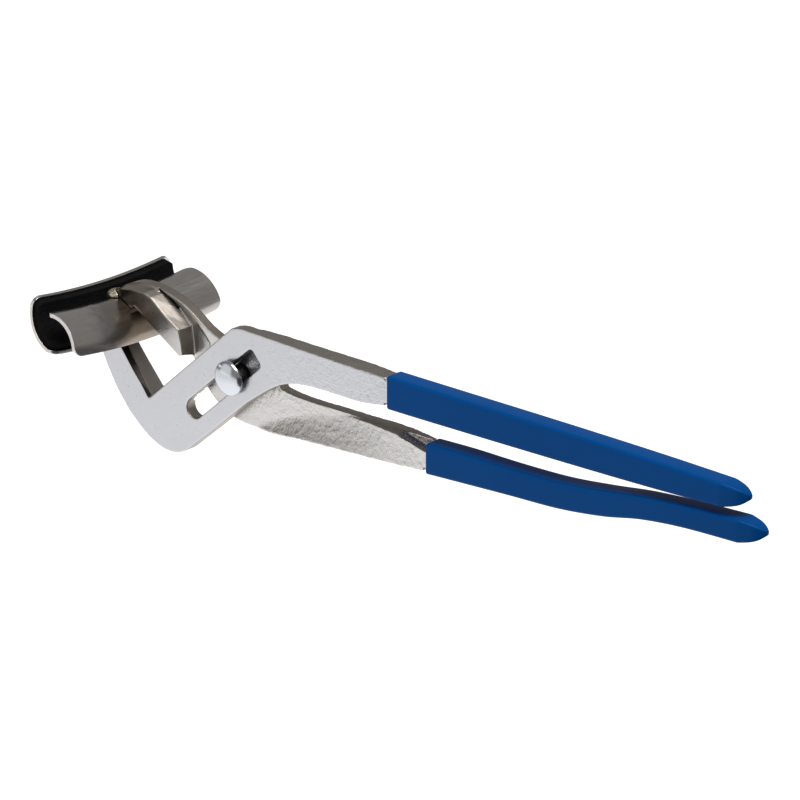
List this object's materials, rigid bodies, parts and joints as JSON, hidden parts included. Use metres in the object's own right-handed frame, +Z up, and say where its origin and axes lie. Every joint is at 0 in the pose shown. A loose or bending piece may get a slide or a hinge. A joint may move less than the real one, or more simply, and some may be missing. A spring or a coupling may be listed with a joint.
{
  "type": "tyre seating pliers",
  "caption": "Long slip-joint pliers with dipped grips and opposed curved steel jaw shells, rubber lined at the rear, for gripping a bicycle tyre and seating its bead.",
  "frame": {"origin": "on the pivot axis, at the flat end of the pivot bolt on the far side", "axes": "+X along the handles towards the grips, +Y along the pivot axis out of the bolt's end, +Z up in the plane in which the handles open"},
  "size_m": [0.3681, 0.0916, 0.0751],
  "materials": {
    "nickel_plate": "satin nickel plate over a forging, smooth at the joint and hammered on the handles",
    "bright_plate": "bright polished plate",
    "brushed_shell": "bare rolled steel, polished, with straw and blue heat tint round the welds",
    "weld": "weld metal, silver with straw tint",
    "black_rubber": "matt fine-grained rubber",
    "blue_vinyl": "glossy dipped vinyl"
  },
  "bodies": {
    "tongue_half": {"tongue_half_forging": "nickel_plate", "front_shell": "brushed_shell", "front_shell_nose_weld": "weld", "front_shell_weld": "weld", "lower_grip": "blue_vinyl"},
    "pivot": {"pivot_bolt": "bright_plate", "pivot_washer": "nickel_plate", "pivot_nut": "nickel_plate"},
    "slot_half": {"slot_half_forging": "nickel_plate", "rear_shell": "brushed_shell", "rubber_lining": "black_rubber", "rear_shell_weld_near": "weld", "rear_shell_weld_far": "weld", "upper_grip": "blue_vinyl"}
  },
  "joints": [
    {"name": "handle_hinge", "type": "hinge", "parent": "tongue_half", "child": "pivot", "pos_m": [0, 0, 0], "axis": [0, -1, 0], "range_deg": [0, 35]},
    {"name": "slot_slide", "type": "slide", "parent": "pivot", "child": "slot_half", "axis": [0.7604, 0, 0.6494], "range_m": [-0.0035, 0.0015]}
  ]
}
